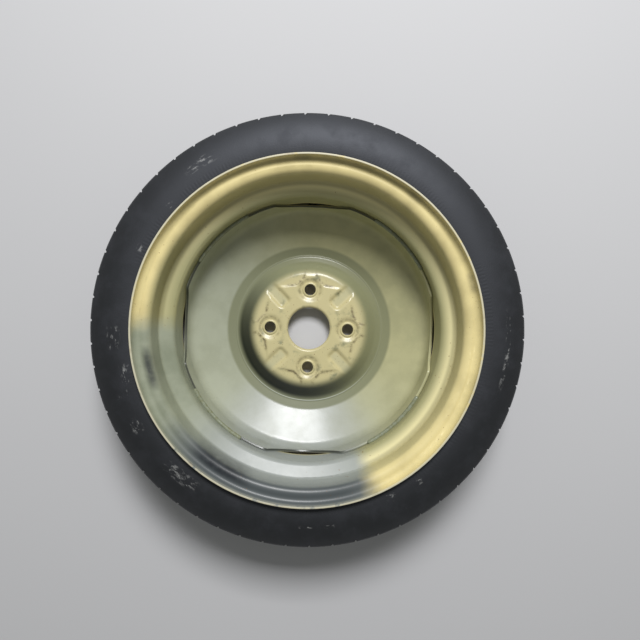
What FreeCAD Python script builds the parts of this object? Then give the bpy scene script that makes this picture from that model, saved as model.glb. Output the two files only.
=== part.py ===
import FreeCAD
import Part
import math
import os

from FreeCAD import Placement, Rotation, Vector

# Temporary-use spare wheel: a 14 x 4 steel wheel with a 105/70 D14 tyre. Millimetres.
# Drawn with z = 0 on the mounting face and +Z along the axis, pointing inboard.
# Exported about the wheel's centre, on the axis halfway between the rim's flanges.

# Rim: heights along the axis are measured in from the bead walls
rim_width = 101.6
rim_offset = 40.0
seat_radius = 177.4
seat_taper_deg = 5.0
seat_out_end = 19.8
seat_in_end = 25.6
seat_bend = 4.0
flange_height = 17.3
flange_width = 11.0
flange_curl = 9.5
heel_radius = 6.5
rim_sheet = 2.3
well_depth = 18.6
well_bend = 5.0
well_out_start = 31.8
well_in_start = 34.7
sheet_edge_round = 0.7

# Disc
disc_sheet = 3.0
disc_fit_gap = 0.4
disc_edge_z = 40.5
corner_z = 6.5
corner_bend = 14.0
plateau_margin = 5.0
plateau_bend = 20.0
cone_run = 14.5
cone_foot_z = -13.2
cone_foot_bend = 10.0
apron_run = 9.0
valley_inner_z = -16.8
valley_inner_bend = 5.0
valley_width = 11.5
valley_outer_z = -14.0
valley_outer_bend = 4.0
bore_radius = 27.05
bore_collar = 9.0
bore_bend = 0.5
low_side_half = 45.0
low_side_drop = 26.0

# Bolt seats
bolt_circle = 100.0
bolt_count = 4
bolt_hole_radius = 7.2
bolt_lip_radius = 9.2
bolt_lip_drop = 0.8
bolt_lip_slope = 1.2
bolt_edge_round = 0.5
bolt_dish_radius = 13.4
bolt_dish_depth = 2.3
bolt_dish_slope = 2.4
bolt_dish_round = 2.0
bolt_pad_radius = 17.0
boss_round = 1.2
nut_seat_depth = 2.9
nut_seat_deg = 30.0

# Channels on the diagonals, and the lower shelves between channel and bolt, whose ridge is given
# by distances in from the plateau's edge and across from the bolt
hub_ring_width = 13.95
channel_half = 9.5
channel_slope = 3.5
channel_depth = 3.0
channel_corner = 3.0
channel_floor_round = 2.0
channel_top_round = 4.0
rib_overrun = 1.5
shelf_depth = 1.2
shelf_round = 0.6
shelf_ridge = ((6.0, 7.5), (16.0, 18.0), (19.5, 44.0))

# Weld beads
weld_radius = 2.6
weld_set_in = 1.4
weld_rise = 0.7
weld_half_deg = 14.5
weld_first_deg = 45.0

# Tyre: heights are measured from the bead seat, and widths in from the sidewall
section_height = 73.9
section_bulge = 2.2
widest_height = 37.6
shoulder_drop = 6.1
shoulder_inset = 11.0
shoulder_round = 7.0
sidewall_thickness = 6.5
tread_thickness = 10.8
lining_drop = 9.0
lining_inset = 6.0
bead_width = 14.6
bead_gap = 0.15
bead_heel = 7.5
bead_toe_height = 2.5
bead_toe_lean = 0.6
bead_waist_height = 10.0
bead_waist_inset = 7.0
bead_top_height = 17.0
bead_top_inset = 3.5
rim_line_drop = 3.5
rim_line_step = 0.6
groove_spacing = 19.0
groove_width = 5.0
groove_depth = 4.2
notch_count = 58
notch_width = 3.6
notch_depth = 8.7
notch_start = 26.0
notch_lean_deg = 12.0

# Valve: heights run along its own axis, out of the rim, from the sheet's tyre side
valve_hole_radius = 5.75
valve_azimuth_deg = 90.0
grommet_gap = 0.08
bulb_radius = 8.0
bulb_tip_radius = 6.4
bulb_length = 4.5
bulb_chamfer = 1.9
bulb_round = 1.1
skirt_radius = 7.3
skirt_height = 1.8
skirt_round = 1.4
shank_radius = 5.5
shank_height = 12.0
shank_round = 4.0
shank_top_radius = 5.1
shank_top = 15.0
rubber_round = 0.5
stem_radius = 3.2
stem_air_radius = 1.4
stem_thread_radius = 3.85
stem_round = 0.3
stem_top = 23.0
chamber_radius = 2.65
passage_radius = 1.95
passage_low = 6.4
passage_taper = 0.8
gasket_low = 15.2
gasket_high = 16.8

# Valve core
core_gap = 0.05
gasket_gap = 0.1
barrel_gap = 0.2
barrel_low = 9.6
barrel_top = 18.2
barrel_floor = 1.0
plug_top = 22.2
plug_round = 0.2
bridge_low = 20.6
bridge_half = 1.4
pin_radius = 0.65
pin_gap = 0.1
pin_drop = 0.3
pin_round = 0.2
collar_low = 17.0
collar_height = 0.5
cup_low = 7.6
cup_top = 8.9
cup_floor = 0.5
cup_wall = 0.2
cup_round = 0.3
spring_room = 0.5
spring_wire_radius = 0.12
spring_turns = 7

# Screw cap
cap_gap = 0.2
cap_seat_gap = 0.4
cap_crown_gap = 0.8
cap_crown = 1.4
cap_wall = 1.2
cap_taper = 0.25
cap_round = 0.8
cap_inner_round = 0.3
flute_count = 12
flute_radius = 0.7
flute_bite = 0.4
flute_low = 1.4

# How far a cutting shape reaches past what it cuts
overcut = 5.0

AXIS = Vector(0, 0, 1)
ORIGIN = Vector(0, 0, 0)
TINY = 1e-6


def step(here, there):
    """Unit direction between two points of a section."""
    dr = there[0] - here[0]
    dz = there[1] - here[1]
    size = math.hypot(dr, dz)
    return dr / size, dz / size


def turn(first, second):
    """Sine of the turn between two directions: positive to the left."""
    return first[0] * second[1] - first[1] * second[0]


def round_face(loop):
    """Face in the XZ plane from a closed loop of (r, z, corner radius)."""
    edges = []
    ends = []
    count = len(loop)
    for i in range(count):
        r, z, radius = loop[i]
        come = step(loop[i - 1], loop[i])
        leave = step(loop[i], loop[(i + 1) % count])
        bend = turn(come, leave)
        angle = math.atan2(abs(bend), come[0] * leave[0] + come[1] * leave[1])
        back = radius * math.tan(angle / 2)
        start = Vector(r - come[0] * back, 0, z - come[1] * back)
        end = Vector(r + leave[0] * back, 0, z + leave[1] * back)
        if back > TINY:
            side = math.copysign(1.0, bend)
            centre = start + Vector(-come[1] * side * radius, 0, come[0] * side * radius)
            mid = Vector(r, 0, z) - centre
            mid.normalize()
            edges.append(Part.Arc(start, centre + mid * radius, end).toShape())
        ends.append((start, end))
    for i in range(count):
        start = ends[i][1]
        end = ends[(i + 1) % count][0]
        if start.distanceToPoint(end) > TINY:
            edges.append(Part.makeLine(start, end))
    return Part.Face(Part.Wire(Part.sortEdges(edges)[0]))


def sheet_loop(path, thickness, edge_round):
    """Loop round a sheet laid to the left of a path of (r, z, inside bend radius)."""
    near = []
    far = []
    last = len(path) - 1
    for i, (r, z, bend) in enumerate(path):
        if i in (0, last):
            way = step(path[0], path[1]) if i == 0 else step(path[-2], path[-1])
            near.append((r, z, edge_round))
            far.append((r - way[1] * thickness, z + way[0] * thickness, edge_round))
            continue
        come = step(path[i - 1], path[i])
        leave = step(path[i], path[i + 1])
        left = turn(come, leave) > 0
        share = thickness / (1 + come[0] * leave[0] + come[1] * leave[1])
        shift_r = -(come[1] + leave[1]) * share
        shift_z = (come[0] + leave[0]) * share
        near.append((r, z, bend + thickness if left else bend))
        far.append((r + shift_r, z + shift_z, bend if left else bend + thickness))
    return near + far[::-1]


def spin(loop):
    """Solid of revolution about Z from a loop of (r, z, corner radius)."""
    return round_face(loop).revolve(ORIGIN, AXIS, 360)


def around(shape, count, first_deg=0.0):
    """Copies of a shape spaced evenly about Z."""
    copies = []
    for i in range(count):
        copy = shape.copy()
        copy.rotate(ORIGIN, AXIS, first_deg + 360.0 * i / count)
        copies.append(copy)
    return copies


def prism(points, low, high):
    """Upright prism over a polygon of (x, y)."""
    corners = [Vector(x, y, low) for x, y in points]
    face = Part.Face(Part.makePolygon(corners + corners[:1]))
    return face.extrude(Vector(0, 0, high - low))


def ring(outer, inner, low, high):
    """Plain ring about Z between two heights."""
    foot = Vector(0, 0, low)
    return Part.makeCylinder(outer, high - low, foot).cut(Part.makeCylinder(inner, high - low, foot))


def rings_at(shape, z, radius):
    """Full-circle edges of a shape at one height and radius."""
    found = []
    for edge in shape.Edges:
        if isinstance(edge.Curve, Part.Circle) and abs(edge.Curve.Center.z - z) < TINY:
            if abs(edge.Curve.Radius - radius) < TINY:
                found.append(edge)
    return found


# Derived sizes
wall_out_z = rim_offset - rim_width / 2
wall_in_z = rim_offset + rim_width / 2
lip_radius = seat_radius + flange_height
taper = math.tan(math.radians(seat_taper_deg))
well_radius = seat_radius - well_depth
well_inside = well_radius - rim_sheet
well_out_z = wall_out_z + well_out_start
well_in_z = wall_in_z - well_in_start
disc_radius = well_inside - disc_fit_gap
bolt_radius = bolt_circle / 2
plateau_radius = bolt_radius + bolt_pad_radius + plateau_margin
cone_foot_radius = plateau_radius + cone_run
valley_inner_radius = cone_foot_radius + apron_run
valley_outer_radius = valley_inner_radius + valley_width
channel_start = bore_radius + hub_ring_width

# Rim, drawn along its tyre side from the outboard lip to the inboard lip
seat_out = (seat_radius - taper * seat_out_end, wall_out_z + seat_out_end)
seat_in = (seat_radius - taper * seat_in_end, wall_in_z - seat_in_end)
curl_inside = flange_curl - rim_sheet
rim_path = [
    (lip_radius, wall_out_z - flange_width, 0),
    (lip_radius, wall_out_z, curl_inside),
    (seat_radius, wall_out_z, heel_radius),
    (*seat_out, seat_bend),
    (well_radius, well_out_z, well_bend),
    (well_radius, well_in_z, well_bend),
    (*seat_in, seat_bend),
    (seat_radius, wall_in_z, heel_radius),
    (lip_radius, wall_in_z, curl_inside),
    (lip_radius, wall_in_z + flange_width, 0),
]
rim = spin(sheet_loop(rim_path, rim_sheet, sheet_edge_round))

# Valve frame: its axis stands on the rim's outboard slope, halfway down
slope = step(seat_out, (well_radius, well_out_z))
valve_point = Vector((seat_out[0] + well_radius) / 2, 0, (seat_out[1] + well_out_z) / 2)
valve_way = Vector(-slope[1], 0, slope[0])
valve_place = Placement(valve_point, Rotation(AXIS, valve_way))
valve_turn = Placement(ORIGIN, Rotation(AXIS, valve_azimuth_deg))


def to_valve(shape):
    """Set a shape built along Z onto the valve's own axis."""
    shape.Placement = valve_turn.multiply(valve_place).multiply(shape.Placement)
    return shape


hole_length = rim_sheet + 2 * overcut
valve_hole = Part.makeCylinder(valve_hole_radius, hole_length, Vector(0, 0, -overcut))
rim = rim.cut(to_valve(valve_hole))

# Disc sheet, drawn along its inboard side from the flange edge to the bore collar
flange_inside = disc_radius - disc_sheet
disc_path = [
    (flange_inside, disc_edge_z, 0),
    (flange_inside, corner_z, corner_bend),
    (valley_outer_radius, valley_outer_z, valley_outer_bend),
    (valley_inner_radius, valley_inner_z, valley_inner_bend),
    (cone_foot_radius, cone_foot_z, cone_foot_bend),
    (plateau_radius, 0, plateau_bend),
    (bore_radius, 0, bore_bend),
    (bore_radius, -bore_collar, 0),
]
disc = spin(sheet_loop(disc_path, disc_sheet, sheet_edge_round))

# Low sides of the disc edge: arched notches left by the square blank
arch_radius = (low_side_half**2 + low_side_drop**2) / (2 * low_side_drop)
arch_foot = Vector(valley_outer_radius, 0, disc_edge_z - low_side_drop + arch_radius)
arch = Part.makeCylinder(arch_radius, disc_radius, arch_foot, Vector(1, 0, 0))
disc = disc.cut(around(arch, bolt_count))

# Bolt seats: dish and lip inboard, nut cone outboard
boss_z = -disc_sheet - bolt_dish_depth
nut_seat_radius = bolt_hole_radius + nut_seat_depth * math.tan(math.radians(nut_seat_deg))
lip_foot_radius = bolt_lip_radius + bolt_lip_slope / 2
lip_top_radius = bolt_lip_radius - bolt_lip_slope / 2
boss_radius = bolt_dish_radius - bolt_dish_slope + disc_sheet / 2
seat_loop = [
    (bolt_pad_radius, 0, 0),
    (bolt_dish_radius, 0, bolt_dish_round),
    (bolt_dish_radius - bolt_dish_slope, -bolt_dish_depth, bolt_edge_round),
    (lip_foot_radius, -bolt_dish_depth, bolt_edge_round),
    (lip_top_radius, -bolt_lip_drop, bolt_edge_round),
    (bolt_hole_radius, -bolt_lip_drop, bolt_edge_round),
    (bolt_hole_radius, boss_z + nut_seat_depth, 0),
    (nut_seat_radius, boss_z, 0),
    (boss_radius, boss_z, boss_round),
    (boss_radius + bolt_dish_slope, -disc_sheet, boss_round),
    (bolt_pad_radius, -disc_sheet, 0),
]
bolt_seat = spin(seat_loop)
bolt_seat.translate(Vector(bolt_radius, 0, 0))
blank_foot = Vector(bolt_radius, 0, -disc_sheet - overcut)
pad_blank = Part.makeCylinder(bolt_pad_radius, disc_sheet + 2 * overcut, blank_foot)
disc = disc.cut(around(pad_blank, bolt_count))
disc = disc.fuse(around(bolt_seat, bolt_count))

# Channels on the diagonals, pressed through to ribs outboard
channel_lean = math.atan2(channel_depth, channel_slope)
channel_floor_start = channel_start + channel_slope
channel_floor_half = channel_half - channel_slope


def pressed_block(corner, floor_z, floor_round, top_z, top_round, cap_z, reach):
    """Block along +X with leaning, rounded walls on three sides and rounded corners in plan."""
    run = (top_z - floor_z) / math.tan(channel_lean)
    flare = top_round * math.tan(channel_lean / 2)
    wall = round_face([
        (0, floor_z, 0),
        (corner, floor_z, floor_round),
        (corner + run, top_z, top_round),
        (corner + run + flare, top_z, 0),
        (corner + run + flare, cap_z, 0),
        (0, cap_z, 0),
    ])
    corner_x = channel_floor_start + channel_corner
    corner_y = channel_floor_half - channel_corner
    length = reach - corner_x
    block = Part.makeBox(length, 2 * corner_y, cap_z - floor_z, Vector(corner_x, -corner_y, floor_z))
    pieces = []
    for side in (1, -1):
        along = wall.copy()
        along.rotate(ORIGIN, AXIS, 90 * side)
        along.translate(Vector(corner_x, side * corner_y, 0))
        pieces.append(along.extrude(Vector(length, 0, 0)))
        pieces.append(along.revolve(Vector(corner_x, side * corner_y, 0), AXIS, 90 * side))
    end = wall.copy()
    end.rotate(ORIGIN, AXIS, 180)
    end.translate(Vector(corner_x, -corner_y, 0))
    pieces.append(end.extrude(Vector(0, 2 * corner_y, 0)))
    return block.fuse(pieces).removeSplitter()


rib_corner = channel_corner + disc_sheet * math.tan(channel_lean / 2)
rib = pressed_block(rib_corner, -channel_depth - disc_sheet, channel_floor_round + disc_sheet,
                    -disc_sheet, channel_top_round - disc_sheet, -disc_sheet / 2,
                    plateau_radius + rib_overrun)
channel = pressed_block(channel_corner, -channel_depth, channel_floor_round,
                        0, channel_top_round, overcut, valley_inner_radius)
half_step = 180.0 / bolt_count
disc = disc.fuse(around(rib, bolt_count, half_step))
disc = disc.cut(around(channel, bolt_count, half_step))

# Lower shelves at the plateau's edge, either side of each bolt
shelf_corners = [(plateau_radius - inward, across) for inward, across in shelf_ridge]
shelf_corners.append((valley_inner_radius, shelf_ridge[-1][1]))
shelf_corners.append((valley_inner_radius, shelf_ridge[0][1]))
shelf = prism(shelf_corners, -shelf_depth, overcut)
shelf_edges = [e for e in shelf.Edges if e.BoundBox.ZMax < TINY - shelf_depth]
shelf = shelf.makeFillet(shelf_round, shelf_edges)
shelves = around(shelf, bolt_count) + around(shelf.mirror(ORIGIN, Vector(0, 1, 0)), bolt_count)
disc = disc.cut(shelves).removeSplitter()

# Weld beads on the disc edge, against the well
weld_ring_radius = well_inside - weld_set_in
weld_z = disc_edge_z + weld_rise
weld_spot = Vector(weld_ring_radius, 0, weld_z)
weld_centre = Vector(0, 0, weld_z)
bead = Part.makeTorus(weld_ring_radius, weld_radius, weld_centre, AXIS, 0, 360, 2 * weld_half_deg)
near_end = Part.makeSphere(weld_radius, weld_spot, AXIS, -90, 90, 180)
far_end = near_end.copy()
near_end.rotate(weld_spot, AXIS, 180)
far_end.rotate(ORIGIN, AXIS, 2 * weld_half_deg)
weld_room = Part.makeCylinder(well_inside, weld_radius + overcut, Vector(0, 0, disc_edge_z))
bead = bead.fuse([near_end, far_end]).removeSplitter().common(weld_room)
weld_beads = Part.makeCompound(around(bead, bolt_count, weld_first_deg - weld_half_deg))

# Tyre sizes from the rim that it sits on
tyre_radius = seat_radius + section_height
tyre_half = rim_width / 2 + section_bulge
widest_radius = seat_radius + widest_height
shoulder_radius = tyre_radius - shoulder_drop
shoulder_half = tyre_half - shoulder_inset
lining_half = tyre_half - sidewall_thickness
lining_radius = tyre_radius - tread_thickness
heel_side = rim_width / 2 - bead_gap
toe_side = rim_width / 2 - bead_width
crown_round = (shoulder_half**2 + shoulder_drop**2) / (2 * shoulder_drop)


def tyre_point(radius, side):
    """Section point at a distance from the tyre's middle plane."""
    return Vector(radius, 0, rim_offset + side)


def seat_at(side):
    """Radius of the tyre's foot over the tapered bead seat."""
    return seat_radius - taper * (rim_width / 2 - side) + bead_gap


def half_outline(sign):
    """Edges of one half section, from the crown's shoulder round the bead to the lining."""
    heel_mid = bead_heel * (1 - math.sqrt(0.5))
    shoulder = tyre_point(shoulder_radius, sign * shoulder_half)
    widest = tyre_point(widest_radius, sign * tyre_half)
    rim_line = tyre_point(lip_radius - rim_line_drop, sign * (heel_side + rim_line_step))
    wall_foot = tyre_point(seat_radius + bead_heel, sign * heel_side)
    heel = tyre_point(seat_radius + heel_mid, sign * (heel_side - heel_mid))
    foot = tyre_point(seat_at(heel_side - bead_heel), sign * (heel_side - bead_heel))
    toe = tyre_point(seat_at(toe_side), sign * toe_side)
    toe_top = tyre_point(seat_radius + bead_toe_height, sign * (toe_side - bead_toe_lean))
    waist = tyre_point(seat_radius + bead_waist_height, sign * (lining_half - bead_waist_inset))
    bead_top = tyre_point(seat_radius + bead_top_height, sign * (lining_half - bead_top_inset))
    lining_side = tyre_point(widest_radius, sign * lining_half)
    lining_top = tyre_point(lining_radius - lining_drop, sign * (lining_half - lining_inset))
    return [
        Part.Arc(shoulder, widest, rim_line).toShape(),
        Part.makeLine(rim_line, wall_foot),
        Part.Arc(wall_foot, heel, foot).toShape(),
        Part.makeLine(foot, toe),
        Part.makeLine(toe, toe_top),
        Part.Arc(toe_top, waist, bead_top).toShape(),
        Part.Arc(bead_top, lining_side, lining_top).toShape(),
    ]


inner_half = half_outline(1)
outer_half = half_outline(-1)
crown = Part.Arc(tyre_point(shoulder_radius, shoulder_half), tyre_point(tyre_radius, 0),
                 tyre_point(shoulder_radius, -shoulder_half))
lining_end = lining_half - lining_inset
lining = Part.Arc(tyre_point(lining_radius - lining_drop, lining_end), tyre_point(lining_radius, 0),
                  tyre_point(lining_radius - lining_drop, -lining_end))
outline = inner_half + outer_half + [crown.toShape(), lining.toShape()]
tyre = Part.Face(Part.Wire(Part.sortEdges(outline)[0])).revolve(ORIGIN, AXIS, 360)
shoulders = rings_at(tyre, rim_offset + shoulder_half, shoulder_radius)
shoulders += rings_at(tyre, rim_offset - shoulder_half, shoulder_radius)
tyre = tyre.makeFillet(shoulder_round, shoulders)

# Tread: straight grooves round the crown, leaning notches across each shoulder
tread_cuts = []
for side in (-groove_spacing, 0, groove_spacing):
    groove_floor = tyre_radius - side**2 / (2 * crown_round) - groove_depth
    groove_low = rim_offset + side - groove_width / 2
    tread_cuts.append(ring(tyre_radius + overcut, groove_floor, groove_low, groove_low + groove_width))
notch_floor = tyre_radius - notch_depth
notch_foot = Vector(notch_floor, -notch_width / 2, 0)
notch = Part.makeBox(notch_depth + overcut, notch_width, tyre_half - notch_start, notch_foot)
notch.rotate(ORIGIN, Vector(1, 0, 0), notch_lean_deg)
notch.translate(Vector(0, 0, notch_start))
far_notch = notch.copy()
far_notch.rotate(ORIGIN, Vector(1, 0, 0), 180)
for cut in (notch, far_notch):
    cut.translate(Vector(0, 0, rim_offset))
    tread_cuts.extend(around(cut, notch_count))
tyre = tyre.cut(tread_cuts)

# Valve rubber and stem: the rim's sheet lies from height 0 to rim_sheet
neck_radius = valve_hole_radius - grommet_gap
neck_top = rim_sheet + grommet_gap
grommet = spin([
    (stem_radius, -bulb_length, 0),
    (bulb_tip_radius, -bulb_length, bulb_round),
    (bulb_radius, bulb_chamfer - bulb_length, bulb_round),
    (bulb_radius, -grommet_gap, rubber_round),
    (neck_radius, -grommet_gap, 0),
    (neck_radius, neck_top, 0),
    (skirt_radius, neck_top, rubber_round),
    (skirt_radius, rim_sheet + skirt_height, skirt_round),
    (shank_radius, shank_height, shank_round),
    (shank_top_radius, shank_top, rubber_round),
    (stem_radius, shank_top, 0),
])
stem = spin([
    (stem_air_radius, -bulb_length, 0),
    (stem_radius, -bulb_length, 0),
    (stem_radius, shank_top + core_gap, 0),
    (stem_thread_radius, shank_top + core_gap, stem_round),
    (stem_thread_radius, stem_top, stem_round),
    (chamber_radius, stem_top, stem_round),
    (chamber_radius, gasket_high, 0),
    (passage_radius, gasket_low, 0),
    (passage_radius, passage_low, 0),
    (stem_air_radius, passage_low - passage_taper, 0),
])

# Valve core, inside the stem
barrel_radius = passage_radius - barrel_gap
barrel_bore = pin_radius + spring_room
pin_hole = pin_radius + pin_gap
core_barrel = spin([
    (pin_hole, barrel_low, 0),
    (barrel_radius, barrel_low, 0),
    (barrel_radius, barrel_top, 0),
    (barrel_bore, barrel_top, 0),
    (barrel_bore, barrel_low + barrel_floor, 0),
    (pin_hole, barrel_low + barrel_floor, 0),
])
core_gasket = spin([
    (barrel_radius, gasket_low + gasket_gap, 0),
    (passage_radius, gasket_low + gasket_gap, 0),
    (chamber_radius - gasket_gap, gasket_high, 0),
    (barrel_radius, gasket_high, 0),
])
plug_radius = chamber_radius - core_gap
core_plug = spin([
    (pin_hole, barrel_top, 0),
    (plug_radius, barrel_top, plug_round),
    (plug_radius, plug_top, plug_round),
    (pin_hole, plug_top, 0),
])
for flat_y in (bridge_half, -bridge_half - plug_radius):
    flat_foot = Vector(-plug_radius, flat_y, bridge_low)
    flat = Part.makeBox(2 * plug_radius, plug_radius, plug_top, flat_foot)
    core_plug = core_plug.cut(flat)
collar_radius = barrel_bore - pin_gap
collar_top = collar_low + collar_height
core_pin = spin([
    (0, cup_low - pin_drop, 0),
    (pin_radius, cup_low - pin_drop, pin_round),
    (pin_radius, collar_low, 0),
    (collar_radius, collar_low, 0),
    (collar_radius, collar_top, 0),
    (pin_radius, collar_top, 0),
    (pin_radius, stem_top - pin_drop, pin_round),
    (0, stem_top - pin_drop, 0),
])
cup_inside = barrel_radius - cup_wall
seal_low = cup_low + cup_floor
core_cup = spin([
    (pin_radius, cup_low, 0),
    (barrel_radius, cup_low, cup_round),
    (barrel_radius, cup_top, 0),
    (cup_inside, cup_top, 0),
    (cup_inside, seal_low, 0),
    (pin_radius, seal_low, 0),
])
core_seal = spin([
    (pin_radius, seal_low, 0),
    (cup_inside, seal_low, 0),
    (cup_inside, barrel_low - core_gap, 0),
    (pin_radius, barrel_low - core_gap, 0),
])
spring_radius = pin_radius + spring_room / 2
spring_low = barrel_low + barrel_floor + spring_wire_radius
spring_length = collar_low - spring_wire_radius - spring_low
helix = Part.makeHelix(spring_length / spring_turns, spring_length, spring_radius)
wire_round = Part.makeCircle(spring_wire_radius, Vector(spring_radius, 0, 0), Vector(0, 1, 0))
core_spring = Part.Wire(helix).makePipeShell([Part.Wire(wire_round)], True, True)
core_spring.translate(Vector(0, 0, spring_low))

# Screw cap, fluted outside
cap_inside = stem_thread_radius + cap_gap
cap_low = shank_top + cap_seat_gap
cap_roof = stem_top + cap_crown_gap
cap_top = cap_roof + cap_crown
cap_radius = cap_inside + cap_wall
valve_cap = spin([
    (0, cap_roof, 0),
    (cap_inside, cap_roof, cap_inner_round),
    (cap_inside, cap_low, 0),
    (cap_radius, cap_low, cap_inner_round),
    (cap_radius - cap_taper, cap_top, cap_round),
    (0, cap_top, 0),
])
flute_foot = Vector(cap_radius + flute_radius - flute_bite, 0, cap_low + flute_low)
flute = Part.makeCylinder(flute_radius, cap_top, flute_foot)
valve_cap = valve_cap.cut(around(flute, flute_count))

nodes = {
    "tyre": tyre,
    "rim": rim,
    "disc": disc,
    "weld_beads": weld_beads,
    "valve_grommet": to_valve(grommet),
    "valve_stem": to_valve(stem),
    "core_plug": to_valve(core_plug),
    "core_barrel": to_valve(core_barrel),
    "core_gasket": to_valve(core_gasket),
    "core_pin": to_valve(core_pin),
    "core_cup": to_valve(core_cup),
    "core_seal": to_valve(core_seal),
    "core_spring": to_valve(core_spring),
    "valve_cap": to_valve(valve_cap),
}
os.makedirs("parts", exist_ok=True)
for name, shape in nodes.items():
    shape.translated(Vector(0, 0, -rim_offset)).exportStep("parts/" + name + ".step")
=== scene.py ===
import math

import bpy
import numpy as np
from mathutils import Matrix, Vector
from mathutils.geometry import delaunay_2d_cdt


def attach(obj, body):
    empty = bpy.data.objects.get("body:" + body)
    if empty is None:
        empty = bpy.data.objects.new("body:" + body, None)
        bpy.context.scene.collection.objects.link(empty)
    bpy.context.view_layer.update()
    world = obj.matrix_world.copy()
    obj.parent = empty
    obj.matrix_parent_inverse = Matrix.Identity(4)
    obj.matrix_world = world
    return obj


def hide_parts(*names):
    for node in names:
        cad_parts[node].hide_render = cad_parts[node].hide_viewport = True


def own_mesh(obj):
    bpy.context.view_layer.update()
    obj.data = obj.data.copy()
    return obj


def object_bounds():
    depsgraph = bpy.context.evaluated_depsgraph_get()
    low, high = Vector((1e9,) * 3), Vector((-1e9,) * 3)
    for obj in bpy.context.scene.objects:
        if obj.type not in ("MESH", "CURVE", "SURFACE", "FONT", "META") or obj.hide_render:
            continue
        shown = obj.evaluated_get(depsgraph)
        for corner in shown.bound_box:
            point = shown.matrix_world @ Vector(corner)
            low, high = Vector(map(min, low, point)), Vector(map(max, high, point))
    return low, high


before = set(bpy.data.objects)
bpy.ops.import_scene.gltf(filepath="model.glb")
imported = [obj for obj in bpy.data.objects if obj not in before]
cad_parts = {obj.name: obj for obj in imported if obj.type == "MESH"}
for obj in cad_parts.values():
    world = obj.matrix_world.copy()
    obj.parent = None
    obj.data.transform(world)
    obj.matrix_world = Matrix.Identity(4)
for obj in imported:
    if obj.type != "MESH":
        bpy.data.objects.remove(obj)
cad_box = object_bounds()

# Lengths are millimetres, with +Z inboard. The disc is drawn about its mounting face.
# Paint and camera are placed about the wheel's centre, which lies this far inboard of that face.
# The frame is in metres about the wheel's centre, and so are the floor and the light.
MM = 0.001
WHEEL_CENTRE_Z = 40.0

# Disc, as pressed: section of its inboard side
SHEET = 3.0
FLANGE_INSIDE = 153.1
FLANGE_EDGE_Z = 40.5
CORNER_Z = 6.5
CORNER_BEND = 14.0
VALLEY_OUTER = 107.0
VALLEY_OUTER_Z = -14.0
VALLEY_OUTER_BEND = 4.0
VALLEY_INNER = 95.5
VALLEY_INNER_Z = -16.8
VALLEY_INNER_BEND = 5.0
CONE_FOOT = 86.5
CONE_FOOT_Z = -13.2
CONE_FOOT_BEND = 10.0
PLATEAU = 72.0
PLATEAU_BEND = 20.0
BORE = 27.05
BORE_BEND = 3.5
BORE_COLLAR = 9.0
LOW_SIDE_HALF = 45.0
LOW_SIDE_DROP = 26.0
EDGE_CROWN = 0.8
DIE_LINE_HEIGHT = 0.45
DIE_LINE_HALF = 1.0
WELD_HALF_DEG = 14.5

# Disc, as pressed: hub stamping
BOLT_COUNT = 4
BOLT_CIRCLE = 50.0
HOLE = 7.2
HOLE_ROUND = 0.5
LIP = 9.2
LIP_DROP = 0.8
LIP_FLANK = 1.6
LIP_ROUND = 0.5
DISH = 16.5
DISH_FLOOR = 10.5
DISH_DEPTH = 2.3
DISH_ROUND = 1.0
PAD = 17.0
NUT_SEAT = 8.9
NUT_SEAT_DEPTH = 2.9
CHANNEL_START = 44.5
CHANNEL_HALF = 6.0
CHANNEL_CORNER = 3.0
CHANNEL_WALL = 3.5
CHANNEL_DEPTH = 3.0
CHANNEL_ROUND = 1.6
SHELF_DEPTH = 1.2
SHELF_FLANK = 0.7
SHELF_ROUND = 0.8
SHELF_RIDGE = ((66.0, 7.5), (56.0, 18.0), (52.5, 44.0))
FOOT_ROUND = 0.8

# Dirt on the hub
GRIME_REACH = 34.0
GRIME_RADIUS = 76.0
GRIME_FADE = 8.0
GRIME_WIDTH = 1.6
GRIME_CLING = 0.85

# Density of the disc's mesh
SEGMENTS = 320
HUB_STEP = 1.1
DIE_LINE_ROWS = 7
SEAT_STEP = 0.6
SEAT_SEGMENTS = 72
OUTER_ROWS = 64
PATH_STEPS = 600
FLANGE_SHARE = 0.7
SHARP_DEG = 38.0
PLAN_TOLERANCE = 1e-6

# The photograph's camera
IMAGE_SIZE = 640.0
SENSOR = 36.0
FOCAL_PIXELS = 507.0
CAMERA_PLACE = (12.98, 15.45, 613.8)
CAMERA_ROLL_DEG = 1.96
AXIS_PIXEL = (319.27, 316.8)


def unit(here, there):
    """Unit direction from one point of a section to another."""
    way = np.subtract(there, here)
    return way / np.hypot(*way)


def rounded(corners, arc_step_deg=4.0):
    """Points along a path of (r, z, bend radius), with its bends as arcs."""
    points = [corners[0][:2]]
    for before, corner, after in zip(corners, corners[1:], corners[2:]):
        spot = np.array(corner[:2])
        come = unit(before[:2], spot)
        leave = unit(spot, after[:2])
        bend = come[0] * leave[1] - come[1] * leave[0]
        angle = math.atan2(abs(bend), come @ leave)
        inward = np.array([-come[1], come[0]]) * math.copysign(1.0, bend)
        start = spot - come * corner[2] * math.tan(angle / 2)
        steps = max(2, math.ceil(math.degrees(angle) / arc_step_deg))
        for turned in np.linspace(0, angle, steps + 1):
            ahead = come * math.sin(turned)
            points.append(start + corner[2] * (ahead + inward * (1 - math.cos(turned))))
    points.append(corners[-1][:2])
    return np.array(points)


def soft_min(first, second, blend):
    """The lower of two heights, with the crease between them rounded."""
    near = np.clip(1 - np.abs(first - second) / blend, 0, 1)
    return np.minimum(first, second) - near * near * blend / 4


def ramp(distance, slope, blend=FOOT_ROUND):
    """0 up to the origin, then a slope, with a rounded foot."""
    return slope * (distance + np.sqrt(distance * distance + blend * blend)) / 2


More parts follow.
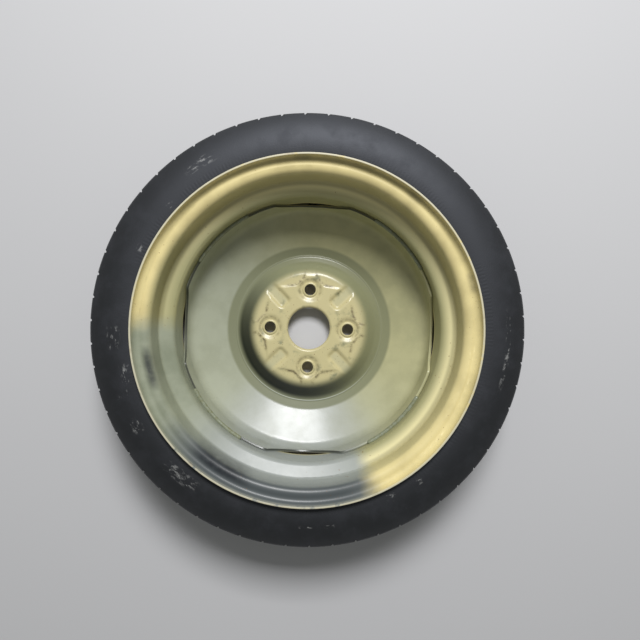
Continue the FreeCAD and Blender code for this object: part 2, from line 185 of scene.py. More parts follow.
HUB_PROFILE = rounded([
    (BORE, 0, 0),
    (PLATEAU, 0, PLATEAU_BEND + SHEET),
    (CONE_FOOT, CONE_FOOT_Z, CONE_FOOT_BEND),
    (VALLEY_INNER, VALLEY_INNER_Z, VALLEY_INNER_BEND),
    (VALLEY_OUTER, VALLEY_OUTER_Z, VALLEY_OUTER_BEND),
    (FLANGE_INSIDE, CORNER_Z, 0),
])
HUB_EDGE = VALLEY_OUTER - VALLEY_OUTER_BEND
BORE_EDGE = BORE + BORE_BEND


def bolt_frame(x, y):
    """Distance out along the nearest bolt's radius, and across from it."""
    pitch = 2 * np.pi / BOLT_COUNT
    turned = np.arctan2(y, x)
    turned = turned - pitch * np.round(turned / pitch)
    radius = np.hypot(x, y)
    return radius * np.cos(turned), np.abs(radius * np.sin(turned))


def bolt_distance(x, y):
    """Distance from the nearest bolt's axis."""
    along, across = bolt_frame(x, y)
    return np.hypot(along - BOLT_CIRCLE, across)


def shelf_inside(x, y):
    """Distance in from the ridge round the lower shelf on each side of a bolt."""
    along, across = bolt_frame(x, y)
    inside = across - SHELF_RIDGE[0][1]
    for (a0, c0), (a1, c1) in zip(SHELF_RIDGE, SHELF_RIDGE[1:]):
        size = math.hypot(a1 - a0, c1 - c0)
        inside = np.minimum(inside, ((along - a0) * (c1 - c0) - (across - c0) * (a1 - a0)) / size)
    return inside


def channel_distance(x, y):
    """Distance out from the floor of the nearest diagonal channel."""
    half = math.sqrt(0.5)
    along, across = bolt_frame((x - y) * half, (x + y) * half)
    short = np.maximum(CHANNEL_START + CHANNEL_CORNER - along, 0)
    wide = np.maximum(across - CHANNEL_HALF + CHANNEL_CORNER, 0)
    return np.hypot(short, wide) - CHANNEL_CORNER


def pressed_height(x, y):
    """Height of the inboard side before the bolt holes are pierced."""
    radius = np.hypot(x, y)
    height = np.interp(radius, HUB_PROFILE[:, 0], HUB_PROFILE[:, 1])
    die_line = np.clip(1 - ((radius - VALLEY_INNER) / DIE_LINE_HALF) ** 2, 0, None)
    height = height + DIE_LINE_HEIGHT * die_line * die_line
    shelf = ramp(-shelf_inside(x, y), SHELF_FLANK) - SHELF_DEPTH
    height = soft_min(height, shelf, SHELF_ROUND)
    channel = ramp(channel_distance(x, y), CHANNEL_DEPTH / CHANNEL_WALL) - CHANNEL_DEPTH
    height = soft_min(height, channel, CHANNEL_ROUND)
    dish = ramp(bolt_distance(x, y) - DISH_FLOOR, DISH_DEPTH / (DISH - DISH_FLOOR)) - DISH_DEPTH
    return soft_min(height, dish, DISH_ROUND)


def inboard_height(x, y):
    """Height of the inboard side, with the turned-up lip round each bolt hole."""
    bolt = bolt_distance(x, y)
    drop = LIP_DROP + ramp(bolt - LIP, LIP_FLANK, LIP_ROUND)
    drop = drop + np.clip(HOLE + HOLE_ROUND - bolt, 0, None)
    return -soft_min(-pressed_height(x, y), drop, LIP_ROUND)


def outboard_height(x, y):
    """Height of the outboard side, with a cone for the nut round each hole."""
    cone = np.clip((NUT_SEAT - bolt_distance(x, y)) / (NUT_SEAT - HOLE), 0, 1)
    return pressed_height(x, y) - SHEET + cone * NUT_SEAT_DEPTH


def grime_share(x, y):
    """Where dirt lies on the hub: along the ridges beside each bolt, and round the dishes."""
    bolt = bolt_distance(x, y)
    near_bolt = np.clip((GRIME_REACH - bolt) / GRIME_FADE, 0, 1)
    near_bolt = near_bolt * np.clip((GRIME_RADIUS - np.hypot(x, y)) / GRIME_FADE, 0, 1)
    ridge = np.exp(-(shelf_inside(x, y) / GRIME_WIDTH) ** 2)
    dish = np.exp(-((bolt - (DISH + DISH_FLOOR) / 2) / GRIME_WIDTH) ** 2)
    return np.maximum(ridge * near_bolt, dish / 2)


class Sheet:
    """Vertices in rings, and the faces between them."""

    def __init__(self):
        self.points = []
        self.faces = []
        self.masks = {"inboard": [], "grime": [], "channel": [], "seam": []}

    def add(self, points, inboard, grime=0.0, channel=0.0, seam=0.0):
        first = len(self.points)
        self.points.extend(map(tuple, points))
        for mask, value in zip(self.masks.values(), (inboard, grime, channel, seam)):
            mask.extend(np.broadcast_to(value, len(points)))
        return list(range(first, first + len(points)))

    def ring(self, radius, z, inboard, seam=0.0):
        turned = turns(SEGMENTS)
        around = [radius * np.cos(turned), radius * np.sin(turned), z + 0 * turned]
        return self.add(np.stack(around, 1), inboard, seam=seam)

    def strip(self, first, second):
        for i, a in enumerate(first):
            j = (i + 1) % len(first)
            self.faces.append((a, first[j], second[j], second[i]))


def turns(count):
    """Angles evenly round a circle."""
    return np.arange(count) * 2 * np.pi / count


def circle(centre, radius, count):
    """Points on a circle in plan."""
    turned = turns(count)
    return np.stack([centre[0] + radius * np.cos(turned), centre[1] + radius * np.sin(turned)], 1)


def hub_plan():
    """Points and triangles of the hub in plan, with its two edges and the bolt holes as loops."""
    rows = np.linspace(BORE_EDGE, HUB_EDGE, round((HUB_EDGE - BORE_EDGE) / HUB_STEP))
    die_line = VALLEY_INNER + DIE_LINE_HALF * np.linspace(-1, 1, DIE_LINE_ROWS)
    rows = rows[np.abs(rows - VALLEY_INNER) > DIE_LINE_HALF + HUB_STEP / 2]
    rows = np.sort(np.concatenate([rows, die_line]))
    rings = [circle((0, 0), radius, SEGMENTS) for radius in rows]
    grid = np.concatenate(rings[1:-1])
    grid = grid[bolt_distance(*grid.T) > PAD]
    loops = [rings[0], rings[-1]]
    seats = []
    for centre in circle((0, 0), BOLT_CIRCLE, BOLT_COUNT):
        loops.append(circle(centre, HOLE, SEAT_SEGMENTS))
        for radius in np.arange(HOLE + SEAT_STEP, PAD, SEAT_STEP):
            seats.append(circle(centre, radius, SEAT_SEGMENTS))
    edges = []
    loop_rows = []
    first = 0
    for loop in loops:
        loop_rows.append(range(first, first + len(loop)))
        edges.extend((first + i, first + (i + 1) % len(loop)) for i in range(len(loop)))
        first += len(loop)
    plan = np.concatenate(loops + [grid] + seats)
    points = [Vector(point) for point in plan]
    spots, _, faces, sources, *_ = delaunay_2d_cdt(points, edges, [], 0, PLAN_TOLERANCE)
    spots = np.array(spots)
    found = {source: i for i, group in enumerate(sources) for source in group}
    middles = spots[np.array(faces)].mean(1)
    clear = (bolt_distance(*middles.T) > HOLE) & (np.hypot(*middles.T) > BORE_EDGE)
    kept = [face for face, keep in zip(faces, clear) if keep]
    return spots, kept, [[found[i] for i in row] for row in loop_rows]


def flange_edge():
    """Height of the flange's edge round the disc, arched down at the blank's four flat sides."""
    _, across = bolt_frame(*circle((0, 0), FLANGE_INSIDE, SEGMENTS).T)
    arch = (LOW_SIDE_HALF**2 + LOW_SIDE_DROP**2) / (2 * LOW_SIDE_DROP)
    rise = arch - np.sqrt(np.clip(arch * arch - across * across, 0, None))
    return np.minimum(FLANGE_EDGE_Z, FLANGE_EDGE_Z - LOW_SIDE_DROP + rise)


def open_seam():
    """Where the flange's edge stands unwelded against the rim, round the disc."""
    along, across = bolt_frame(*circle((0, 0), FLANGE_INSIDE, SEGMENTS).T)
    from_bolt = np.degrees(np.arctan2(across, along))
    return (from_bolt < 180 / BOLT_COUNT - WELD_HALF_DEG).astype(float)


def add_bore(sheet, top, under):
    """The collar turned down round the centre bore."""
    collar = rounded([(BORE_EDGE, 0, 0), (BORE, 0, BORE_BEND), (BORE, -BORE_COLLAR, 0)])
    last = top
    for r, z in collar[2:]:
        ring = sheet.ring(r, z, 1.0)
        sheet.strip(ring, last)
        last = ring
    foot = sheet.ring(BORE + SHEET, -BORE_COLLAR, 0.0)
    sheet.strip(foot, last)
    sheet.strip(under, foot)


def add_outer(sheet, top, under):
    """The dished face outside the valley and the flange that fits in the rim."""
    path = rounded([
        (VALLEY_INNER, VALLEY_INNER_Z, 0),
        (VALLEY_OUTER, VALLEY_OUTER_Z, VALLEY_OUTER_BEND),
        (FLANGE_INSIDE, CORNER_Z, CORNER_BEND),
        (FLANGE_INSIDE, FLANGE_EDGE_Z, 0),
    ])
    run = np.concatenate([[0], np.cumsum(np.hypot(*np.diff(path, axis=0).T))])
    fine = np.linspace(0, run[-1], PATH_STEPS)
    r = np.interp(fine, run, path[:, 0])
    z = np.interp(fine, run, path[:, 1])
    along_r = np.gradient(r, fine)
    along_z = np.gradient(z, fine)
    start = np.interp(HUB_EDGE, r, fine)
    end = np.interp(flange_edge(), z[fine > start], fine[fine > start])
    seam = open_seam()
    inner = [top]
    outer = [under]
    for share in np.linspace(0, 1, OUTER_ROWS + 1)[1:]:
        spot = start + (end - start) * share
        here_r = np.interp(spot, fine, r)
        here_z = np.interp(spot, fine, z)
        out_r = np.interp(spot, fine, along_z) * SHEET
        out_z = -np.interp(spot, fine, along_r) * SHEET
        inner.append(sheet.ring(here_r, here_z, 1.0, seam * (share == 1)))
        outer.append(sheet.ring(here_r + out_r, here_z + out_z, float(share > FLANGE_SHARE)))
    crown = sheet.ring(FLANGE_INSIDE + SHEET / 2, flange_edge() + EDGE_CROWN, 1.0, seam)
    for here, there in zip(inner, inner[1:] + [crown]):
        sheet.strip(here, there)
    for here, there in zip(outer, outer[1:] + [crown]):
        sheet.strip(there, here)


def disc_skin():
    """The whole pressed disc as one closed sheet."""
    sheet = Sheet()
    spots, triangles, loops = hub_plan()
    x, y = spots.T
    channel = np.clip(-channel_distance(x, y) / CHANNEL_CORNER, 0, 1)
    top = sheet.add(np.stack([x, y, inboard_height(x, y)], 1), 1.0, grime_share(x, y), channel)
    under = sheet.add(np.stack([x, y, outboard_height(x, y)], 1), 0.0)
    for a, b, c in triangles:
        sheet.faces.append((top[a], top[b], top[c]))
        sheet.faces.append((under[a], under[c], under[b]))
    tops = [[top[i] for i in loop] for loop in loops]
    unders = [[under[i] for i in loop] for loop in loops]
    add_bore(sheet, tops[0], unders[0])
    add_outer(sheet, tops[1], unders[1])
    for hole_top, hole_under in zip(tops[2:], unders[2:]):
        sheet.strip(hole_under, hole_top)
    return sheet


def build(name, sheet):
    """A smooth-shaded object from a sheet, in the frame's metres."""
    mesh = bpy.data.meshes.new(name)
    points = (np.array(sheet.points) - (0, 0, WHEEL_CENTRE_Z)) * MM
    mesh.from_pydata(points.tolist(), [], sheet.faces)
    mesh.shade_smooth()
    mesh.set_sharp_from_angle(angle=math.radians(SHARP_DEG))
    for key, values in sheet.masks.items():
        mesh.attributes.new(key, "FLOAT", "POINT").data.foreach_set("value", values)
    obj = bpy.data.objects.new(name, mesh)
    bpy.context.collection.objects.link(obj)
    return obj


def srgb(red, green, blue):
    """Linear colour from 0-255 screen values."""
    out = []
    for value in (red, green, blue):
        v = value / 255.0
        out.append(v / 12.92 if v <= 0.04045 else ((v + 0.055) / 1.055) ** 2.4)
    return (*out, 1.0)


SOCKETS = {"metallic": "Metallic", "specular": "Specular IOR Level", "coat": "Coat Weight",
           "coat_roughness": "Coat Roughness", "sheen": "Sheen Weight",
           "specular_tint": "Specular Tint"}


class Paint:
    """A material and short calls that add nodes to it; lengths in it are millimetres."""

    def __init__(self, name):
        self.material = bpy.data.materials.new(name)
        self.material.use_nodes = True
        self.tree = self.material.node_tree
        self.shader = self.tree.nodes["Principled BSDF"]
        coords = self.tree.nodes.new("ShaderNodeTexCoord")
        self.place = self.vector("DIVIDE", coords.outputs["Object"], (MM, MM, MM))
        split = self.tree.nodes.new("ShaderNodeSeparateXYZ")
        self.link(self.place, split.inputs[0])
        self.x, self.y, self.z = split.outputs
        flat = self.vector("MULTIPLY", self.place, (1, 1, 0))
        self.heading = self.vector("NORMALIZE", flat)
        self.radius = self.vector("LENGTH", flat)
        self.turn = self.math("ARCTAN2", self.x, self.y)

    def link(self, source, target):
        if hasattr(source, "is_output"):
            self.tree.links.new(source, target)
        else:
            target.default_value = source

    def math(self, kind, first, second=0.0):
        node = self.tree.nodes.new("ShaderNodeMath")
        node.operation = kind
        self.link(first, node.inputs[0])
        self.link(second, node.inputs[1])
        return node.outputs[0]

    def both(self, first, *others):
        """The product of masks."""
        for other in others:
            first = self.math("MULTIPLY", first, other)
        return first

    def either(self, first, *others):
        """The greatest of masks."""
        for other in others:
            first = self.math("MAXIMUM", first, other)
        return first

    def vector(self, kind, first, second=(0, 0, 0)):
        node = self.tree.nodes.new("ShaderNodeVectorMath")
        node.operation = kind
        self.link(first, node.inputs[0])
        self.link(second, node.inputs[1])
        scalar = kind in ("LENGTH", "DOT_PRODUCT", "DISTANCE")
        return node.outputs["Value" if scalar else "Vector"]

    def ease(self, value, low, high):
        """0 at low, 1 at high, smooth between."""
        node = self.tree.nodes.new("ShaderNodeMapRange")
        node.interpolation_type = "SMOOTHSTEP"
        self.link(value, node.inputs["Value"])
        flip = low > high
        node.inputs["From Min"].default_value = min(low, high)
        node.inputs["From Max"].default_value = max(low, high)
        node.inputs["To Min"].default_value = 1.0 if flip else 0.0
        node.inputs["To Max"].default_value = 0.0 if flip else 1.0
        return node.outputs["Result"]

    def span(self, value, low, high):
        """A value from 0 to 1 stretched to run from low to high."""
        return self.math("ADD", self.math("MULTIPLY", value, high - low), low)

    def noise(self, size, detail=3.0, rough=0.55, place=None):
        """Noise whose lumps are about a size across."""
        node = self.tree.nodes.new("ShaderNodeTexNoise")
        node.inputs["Scale"].default_value = 1 / size
        node.inputs["Detail"].default_value = detail
        node.inputs["Roughness"].default_value = rough
        self.link(place or self.place, node.inputs["Vector"])
        return node.outputs["Fac"]

    def along_rings(self, radius, squeeze):
        """Coordinates that run round the wheel, squeezed that way to draw a texture out."""
        node = self.tree.nodes.new("ShaderNodeCombineXYZ")
        self.link(self.math("MULTIPLY", self.turn, radius / squeeze), node.inputs["X"])
        self.link(self.radius, node.inputs["Y"])
        self.link(self.z, node.inputs["Z"])
        return node.outputs[0]

    def attribute(self, name):
        node = self.tree.nodes.new("ShaderNodeAttribute")
        node.attribute_name = name
        return node.outputs["Fac"]

    def mix(self, amount, first, second):
        node = self.tree.nodes.new("ShaderNodeMix")
        node.data_type = "RGBA"
        self.link(amount, node.inputs["Factor"])
        self.link(first, node.inputs["A"])
        self.link(second, node.inputs["B"])
        return node.outputs["Result"]

    def toward(self, degrees, half_width, soft, wander=None, reach=0.1):
        """1 within an angle of a heading, degrees clockwise from the photograph's top."""
        turn = math.radians(degrees - CAMERA_ROLL_DEG)
        lean = self.vector("DOT_PRODUCT", self.heading, (math.sin(turn), math.cos(turn), 0))
        if wander is not None:
            shift = self.math("MULTIPLY", self.math("SUBTRACT", wander, 0.5), reach)
            lean = self.math("ADD", lean, shift)
        near = math.cos(math.radians(max(half_width - soft, 0)))
        far = math.cos(math.radians(half_width + soft))
        return self.ease(lean, far, near)

    def band(self, low, high, soft):
        """1 between two radii."""
        inside = self.ease(self.radius, low - soft, low + soft)
        return self.both(inside, self.ease(self.radius, high + soft, high - soft))

    def bump(self, height, distance):
        """Relief whose full height is a distance."""
        node = self.tree.nodes.new("ShaderNodeBump")
        node.inputs["Distance"].default_value = distance * MM
        self.link(height, node.inputs["Height"])
        self.link(node.outputs["Normal"], self.shader.inputs["Normal"])

    def finish(self, color, roughness, **more):
        """Set the shader's inputs; more are sockets by short name."""
        self.link(color, self.shader.inputs["Base Color"])
        self.link(roughness, self.shader.inputs["Roughness"])
        for key, value in more.items():
            self.link(value, self.shader.inputs[SOCKETS[key]])
        return self.material


CREAM = srgb(236, 220, 160)
CREAM_DULL = srgb(214, 199, 143)
CREAM_PALE = srgb(234, 225, 174)
ECOAT = srgb(160, 165, 145)
ECOAT_DARK = srgb(140, 146, 126)
ECOAT_BLUE = srgb(82, 88, 90)
# Near-black primer used as painted shade on the hub cone and in the open seam's gap
PRIMER_AS_SHADE = srgb(24, 29, 22)
OVERSPRAY = srgb(172, 169, 126)
MIST_WARM = srgb(190, 187, 145)
MIST_GREY = srgb(174, 178, 158)
# Bluish grey painted where the highlight falls, standing in for the highlight's tint
HIGHLIGHT_BLUE_TINT = srgb(158, 163, 164)
MIST_DULL = srgb(127, 130, 101)
HUB_CREAM = srgb(207, 197, 150)
CHANNEL_PALE = srgb(196, 194, 160)
# Pale painted as a highlight along the die line
GLINT_PALE = srgb(192, 198, 188)
BLUE_BLACK = srgb(34, 38, 44)
RUST = srgb(122, 84, 48)
DIRT = srgb(78, 62, 39)
# Olive used as painted shade: in the rim's seat groove, and inside the lip's top together with some dirt
OLIVE_SHADE_AND_DIRT = srgb(92, 86, 46)
LIP_WORN = srgb(212, 206, 180)
RUBBER = srgb(14, 15, 14)
RUBBER_DUST = srgb(42, 43, 47)
RUBBER_SHINE = srgb(236, 241, 255)
SCUFF_WHITE = srgb(176, 176, 174)
VALVE_BLACK = srgb(34, 34, 35)
VALVE_GREY = srgb(44, 44, 45)
BRASS = srgb(196, 164, 94)
BRASS_DARK = srgb(170, 138, 74)
GASKET_RED = srgb(186, 58, 44)
GASKET_DARK = srgb(160, 48, 38)
WIRE = srgb(178, 178, 180)
WIRE_DARK = srgb(150, 150, 152)
CAP_BLACK = srgb(28, 28, 29)
CAP_GREY = srgb(36, 36, 37)
FLOOR_PALE = srgb(206, 206, 208)
FLOOR_DULL = srgb(202, 202, 205)

# Rim paint by height and radius, where a change of tone starts and ends, and the lip's radius
RIM_INBOARD = (-20.0, -10.0)
SLOPE_PALE = (178.0, 170.0)
WELL_THIN = (168.0, 158.0)
SIDE_THIN = (182.0, 174.0)
LIP_WEAR = (191.8, 193.4)
LIP_RADIUS = 193.0

# Rim paint in rings: inner and outer radius
# Painted shade: an olive band darkening the groove at the bead seat
SHADED_GROOVE_RING = (168.5, 174.5)
# Painted shade with some dirt: an olive band inside the lip
SHADED_CURL_RING = (187.0, 191.5)
BLUE_RING = (175.0, 192.5)

# Rim paint by side, degrees clockwise from the photograph's top: heading, half angle, soft edge
MISSED = (215.0, 57.5, 5.0)
THIN_SIDE = (282.0, 18.0, 16.0)
# Side where the lip's inner face, turned away from the key light, gets painted shade
SHADED_CURL_SIDE = (2.0, 48.0, 30.0)
# Side where a bluish tint is painted under the highlight
RIM_HIGHLIGHT_TINT_SIDE = (188.0, 30.0, 22.0)
BLUE_SIDE = (192.0, 36.0, 14.0)

# Black primer on the rim: heading, half angle, inner and outer radius, strength
BLOTCHES = (
    (212.5, 7.0, 174.0, 186.0, 0.9),
    (256.5, 4.5, 176.0, 184.0, 0.85),
    (74.0, 2.2, 187.0, 192.0, 0.5),
    (39.0, 1.8, 187.0, 192.0, 0.4),
    (358.5, 1.8, 189.0, 193.0, 0.45),
)

# Disc paint by radius and by side, as for the rim
VALLEY_DULL = (109.0, 105.0)
# Painted shade on the hub cone: where it starts and ends
CONE_SHADE_INNER = (66.0, 80.0)
CONE_SHADE_OUTER = (95.2, 88.0)
HUB_SPRAY = (79.0, 65.0)
SPECK_FADE = (100.0, 60.0)
WARM_SIDE = (60.0, 85.0, 45.0)
# Side where a bluish tint is painted under the highlight
SHINY_SIDE = (188.0, 26.0, 22.0)
# Side of the hub cone facing away from the key light, painted in shade
CONE_SHADE_SIDE = (222.0, 58.0, 58.0)
# Side where the die line gets a painted highlight
GLINT_SIDE = (185.0, 35.0, 32.0)
# Sides where the open seam's gap gets painted shadow
SHADED_GAP_SIDE = (285.0, 125.0, 10.0)

# Tyre: heights where the inboard wall begins, its serrated ring and the radius of its scuffs
TYRE_INBOARD = (0.0, 8.0)
SERRATED_RING = (199.0, 206.0)
SERRATION_COUNT = 320.0
SCUFF_RADIUS = 215.0

# Scuffs on the tyre's inboard wall: heading, half angle, radius, half height
SCUFFS = (
    (327.5, 3.7, 220.0, 5.0),
    (312.4, 0.9, 205.0, 3.0),
    (296.4, 0.9, 206.0, 3.0),
    (267.9, 2.4, 215.0, 6.0),
    (256.5, 2.2, 206.0, 5.0),
    (250.8, 0.8, 216.0, 6.0),
    (240.9, 1.7, 217.0, 6.0),
    (221.0, 4.4, 214.0, 6.0),
    (153.3, 1.2, 207.0, 4.0),
    (143.0, 0.9, 208.0, 3.0),
    (150.3, 0.7, 228.0, 2.6),
    (180.5, 1.4, 218.0, 1.6),
    (173.4, 1.2, 219.0, 1.6),
    (96.0, 8.0, 223.5, 2.4),
)


def rim_paint():
    """Cream sprayed over grey-green primer, worn at the lip and blotched with black; olive painted shade
    in the seat groove and, with some dirt, inside the lip's top; a bluish tint painted under the
    highlight on the lower side.
    """
    p = Paint("rim_paint")
    seen = p.ease(p.z, *RIM_INBOARD)
    blots = p.noise(9.0, 5.0, 0.65)
    missed = p.both(seen, p.toward(*MISSED, p.noise(30.0, 5.0), 0.12))
    deep = p.both(seen, p.ease(p.radius, *WELL_THIN))
    cream = p.mix(p.ease(p.noise(45.0, 4.0), 0.35, 0.7), CREAM, CREAM_DULL)
    cream = p.mix(p.both(seen, p.ease(p.radius, *SLOPE_PALE)), cream, CREAM_PALE)
    cream = p.mix(deep, cream, OVERSPRAY)
    thin = p.both(p.toward(*THIN_SIDE), p.ease(p.radius, *SIDE_THIN), 0.7)
    cream = p.mix(thin, cream, OVERSPRAY)
    # Painted shade in the groove at the bead seat
    cream = p.mix(p.both(seen, p.band(*SHADED_GROOVE_RING, 2.0), 0.4), cream, OLIVE_SHADE_AND_DIRT)
    # Painted shade, with some dirt, inside the lip on its top side
    curl_shade = p.both(seen, p.toward(*SHADED_CURL_SIDE), p.band(*SHADED_CURL_RING, 1.5))
    cream = p.mix(p.both(curl_shade, 0.4), cream, OLIVE_SHADE_AND_DIRT)
    primer = p.mix(p.ease(p.noise(38.0, 5.0), 0.35, 0.7), ECOAT, ECOAT_DARK)
    # Painted reflection tint: bluish grey on the lower side where the highlight falls
    primer = p.mix(p.both(p.toward(*RIM_HIGHLIGHT_TINT_SIDE), 0.8), primer, HIGHLIGHT_BLUE_TINT)
    bluish = p.both(p.toward(*BLUE_SIDE), p.band(*BLUE_RING, 2.0))
    primer = p.mix(bluish, primer, ECOAT_BLUE)
    colour = p.mix(missed, cream, primer)
    marks = [p.both(p.toward(heading, half, half), p.band(low, high, 4.0), strength)
             for heading, half, low, high, strength in BLOTCHES]
    black = p.both(seen, p.either(*marks), p.span(p.ease(blots, 0.3, 0.6), 0.7, 1.0))
    colour = p.mix(black, colour, BLUE_BLACK)
    speck = p.both(p.ease(p.noise(2.2, 2.0), 0.70, 0.74), p.ease(p.noise(60.0), 0.45, 0.6))
    colour = p.mix(speck, colour, RUST)
    lip = p.both(seen, p.ease(p.radius, *LIP_WEAR), p.ease(p.noise(11.0, 4.0, 0.6), 0.30, 0.44))
    rust_streaks = p.noise(9.0, 4.0, place=p.along_rings(LIP_RADIUS, 3.0))
    worn = p.mix(p.ease(rust_streaks, 0.62, 0.8), LIP_WORN, RUST)
    colour = p.mix(lip, colour, worn)
    p.bump(p.noise(1.6, 2.0), 0.03)
    return p.finish(colour, p.span(blots, 0.32, 0.5), coat=0.2, coat_roughness=0.24, specular=0.35)


def disc_paint():
    """Primer dusted with cream, more so at one side and on the hub, with dirt in the recesses; painted
    shade on the hub cone's side away from the key light and in the open seam's gap, a painted highlight
    on the die line's lower side, and a bluish tint painted under the highlight.
    """
    p = Paint("disc_paint")
    seen = p.attribute("inboard")
    cloud = p.noise(34.0, 5.0, 0.6)
    colour = p.mix(p.toward(*WARM_SIDE, cloud, 0.4), MIST_GREY, MIST_WARM)
    # Painted reflection tint: bluish grey on the lower side where the highlight falls
    colour = p.mix(p.both(p.toward(*SHINY_SIDE), 0.75), colour, HIGHLIGHT_BLUE_TINT)
    colour = p.mix(p.span(p.ease(cloud, 0.35, 0.7), 0.0, 0.25), colour, MIST_DULL)
    colour = p.mix(p.both(p.ease(p.radius, *VALLEY_DULL), 0.85), colour, MIST_DULL)
    # Painted shade: the hub cone darkened on its side away from the key light
    cone = p.both(p.ease(p.radius, *CONE_SHADE_INNER), p.ease(p.radius, *CONE_SHADE_OUTER))
    colour = p.mix(p.both(p.toward(*CONE_SHADE_SIDE), cone), colour, PRIMER_AS_SHADE)
    # Painted highlight along the die line on its lower side, with a faint pale line all round
    die_line_glint = p.band(VALLEY_INNER - DIE_LINE_HALF / 2, VALLEY_INNER + DIE_LINE_HALF / 2, 0.4)
    die_line_glint = p.both(die_line_glint, p.span(p.toward(*GLINT_SIDE), 0.08, 0.7))
    colour = p.mix(die_line_glint, colour, GLINT_PALE)
    hub = p.both(p.ease(p.radius, *HUB_SPRAY), p.ease(p.noise(14.0, 4.0), 0.2, 0.45))
    pale = p.both(p.attribute("channel"), 0.5)
    colour = p.mix(hub, colour, p.mix(pale, HUB_CREAM, CHANNEL_PALE))
    patchy = p.ease(p.noise(5.0, 5.0, 0.7), 0.36, 0.62)
    dirty = p.both(p.attribute("grime"), patchy, GRIME_CLING)
    colour = p.mix(dirty, colour, DIRT)
    specks = p.both(p.ease(p.noise(1.8, 2.0), 0.68, 0.74), p.ease(p.radius, *SPECK_FADE))
    colour = p.mix(specks, colour, RUST)
    # Painted shadow: near-black along the open seam's gap, except on the side where the edge catches the
    # light
    gap_shadow = p.both(p.attribute("seam"), p.toward(*SHADED_GAP_SIDE), 0.85)
    colour = p.mix(gap_shadow, colour, PRIMER_AS_SHADE)
    colour = p.mix(seen, CREAM, colour)
    p.bump(p.noise(2.0, 3.0), 0.05)
    rough = p.either(p.span(cloud, 0.2, 0.45), p.both(p.attribute("grime"), 0.8))
    return p.finish(colour, rough, coat=0.17, coat_roughness=0.17)


def weld_paint():
    """Primer over a rippled bead."""
    p = Paint("weld_paint")
    tone = p.ease(p.noise(4.0, 4.0), 0.35, 0.65)
    p.bump(p.noise(1.8, 3.0), 0.5)
    return p.finish(p.mix(tone, ECOAT_DARK, MIST_DULL), p.span(tone, 0.3, 0.5), coat=0.2)


def tyre_rubber():
    """Black rubber, dusty and scuffed, with a serrated band beside the rim."""
    p = Paint("tyre_rubber")
    seen = p.ease(p.z, *TYRE_INBOARD)
    dust = p.ease(p.noise(26.0, 5.0, 0.65), 0.42, 0.75)
    colour = p.mix(p.both(dust, 0.4), RUBBER, RUBBER_DUST)
    marks = [p.both(p.toward(heading, half, half * 0.6), p.band(r - tall, r + tall, tall * 0.5))
             for heading, half, r, tall in SCUFFS]
    streaks = p.ease(p.noise(3.6, 4.0, 0.7, p.along_rings(SCUFF_RADIUS, 2.2)), 0.52, 0.64)
    white = p.both(seen, p.either(*marks), streaks)
    colour = p.mix(p.both(white, 0.5), colour, SCUFF_WHITE)
    teeth = p.math("SINE", p.math("MULTIPLY", p.turn, SERRATION_COUNT))
    serrated = p.both(teeth, p.band(*SERRATED_RING, 1.5), p.ease(p.noise(60.0), 0.4, 0.6), 0.08)
    grain = p.both(p.noise(1.4, 3.0), 0.35)
    p.bump(p.math("ADD", serrated, grain), 0.3)
    return p.finish(colour, p.span(dust, 0.6, 0.68), sheen=0.05, specular=0.85,
                    specular_tint=RUBBER_SHINE)


def small_part(name, colour, shade, rough, metal=0.0):
    """A small fitting's material, mottled between two tones."""
    p = Paint(name)
    tone = p.noise(1.5, 4.0, 0.6)
    p.bump(p.noise(0.5, 3.0), 0.02)
    return p.finish(p.mix(tone, colour, shade), p.span(tone, rough - 0.06, rough + 0.06), metallic=metal)


def dress(node, material):
    """Give a carried-over solid its material."""
    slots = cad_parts[node].data.materials
    slots.clear()
    slots.append(material)


def sprung_coil(material):
    """A copy of the valve core's spring, attached to the wheel in place of the carried-over spring,
    which is hidden.
    """
    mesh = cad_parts["core_spring"].data.copy()
    mesh.materials.clear()
    mesh.materials.append(material)
    coil = bpy.data.objects.new("spring_coil", mesh)
    bpy.context.collection.objects.link(coil)
    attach(coil, "wheel")
    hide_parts("core_spring")
    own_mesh(coil)


disc_material = disc_paint()
disc = build("disc_sheet", disc_skin())
disc.data.materials.append(disc_material)
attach(disc, "wheel")
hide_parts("disc")

dress("tyre", tyre_rubber())
dress("rim", rim_paint())
dress("disc", disc_material)
dress("weld_beads", weld_paint())
valve_rubber = small_part("valve_rubber", VALVE_BLACK, VALVE_GREY, 0.55)
brass = small_part("brass", BRASS, BRASS_DARK, 0.3, 1.0)
for name in ("valve_grommet", "core_seal"):
    dress(name, valve_rubber)
for name in ("valve_stem", "core_plug", "core_barrel", "core_pin", "core_cup"):
    dress(name, brass)
dress("core_gasket", small_part("gasket_red", GASKET_RED, GASKET_DARK, 0.5))
spring_wire = small_part("spring_wire", WIRE, WIRE_DARK, 0.3, 1.0)
dress("core_spring", spring_wire)
sprung_coil(spring_wire)
dress("valve_cap", small_part("cap_plastic", CAP_BLACK, CAP_GREY, 0.45))

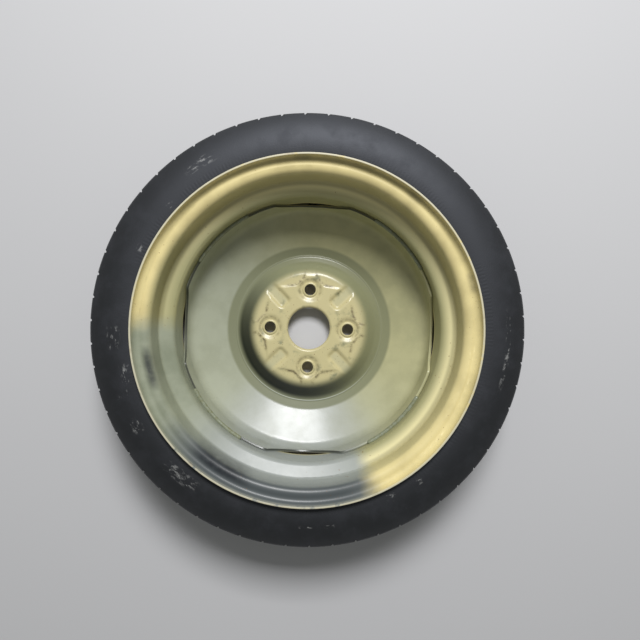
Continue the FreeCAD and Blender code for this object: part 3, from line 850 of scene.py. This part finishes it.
# Floor
FLOOR_HALF = 3.0
FLOOR_GAP = 0.0002
bpy.ops.mesh.primitive_plane_add(size=2 * FLOOR_HALF, location=(0, 0, cad_box[0][2] - FLOOR_GAP))
floor = bpy.context.object
floor.name = "floor"
floor_paint = Paint("floor_pale")
floor_tone = floor_paint.mix(floor_paint.noise(900.0), FLOOR_PALE, FLOOR_DULL)
floor.data.materials.append(floor_paint.finish(floor_tone, 0.8))

# Light
SKY = (0.94, 0.96, 0.92, 1)
SKY_STRENGTH = 0.2
KEY_TILT_DEG = 38.0
KEY_HEADING_DEG = 6.0
KEY_DISTANCE = 2.4
KEY_SIZE = (0.85, 0.7)
KEY_POWER = 56.0

world = bpy.data.worlds.new("studio")
bpy.context.scene.world = world
world.use_nodes = True
sky = world.node_tree.nodes["Background"]
sky.inputs["Color"].default_value = SKY
sky.inputs["Strength"].default_value = SKY_STRENGTH


def area_light(name, tilt_deg, heading_deg, distance, size, power):
    """A soft panel aimed at the wheel; heading is clockwise from +Y, tilt is from +Z."""
    light = bpy.data.lights.new(name, "AREA")
    light.shape = "RECTANGLE"
    light.size, light.size_y = size
    light.energy = power
    obj = bpy.data.objects.new(name, light)
    bpy.context.collection.objects.link(obj)
    tilt = math.radians(tilt_deg)
    heading = math.radians(heading_deg)
    flat = math.sin(tilt) * distance
    obj.location = (flat * math.sin(heading), flat * math.cos(heading), math.cos(tilt) * distance)
    obj.rotation_euler = (-tilt, 0, -heading)


area_light("key", KEY_TILT_DEG, KEY_HEADING_DEG, KEY_DISTANCE, KEY_SIZE, KEY_POWER)

# Camera
lens = bpy.data.cameras.new("camera")
lens.sensor_width = SENSOR
lens.lens = FOCAL_PIXELS / IMAGE_SIZE * SENSOR
lens.shift_x = (IMAGE_SIZE / 2 - AXIS_PIXEL[0]) / IMAGE_SIZE
lens.shift_y = (AXIS_PIXEL[1] - IMAGE_SIZE / 2) / IMAGE_SIZE
camera = bpy.data.objects.new("camera", lens)
camera.location = [place * MM for place in CAMERA_PLACE]
camera.rotation_euler = (0, 0, math.radians(CAMERA_ROLL_DEG))
bpy.context.collection.objects.link(camera)
bpy.context.scene.camera = camera
bpy.context.scene.view_settings.view_transform = "Standard"
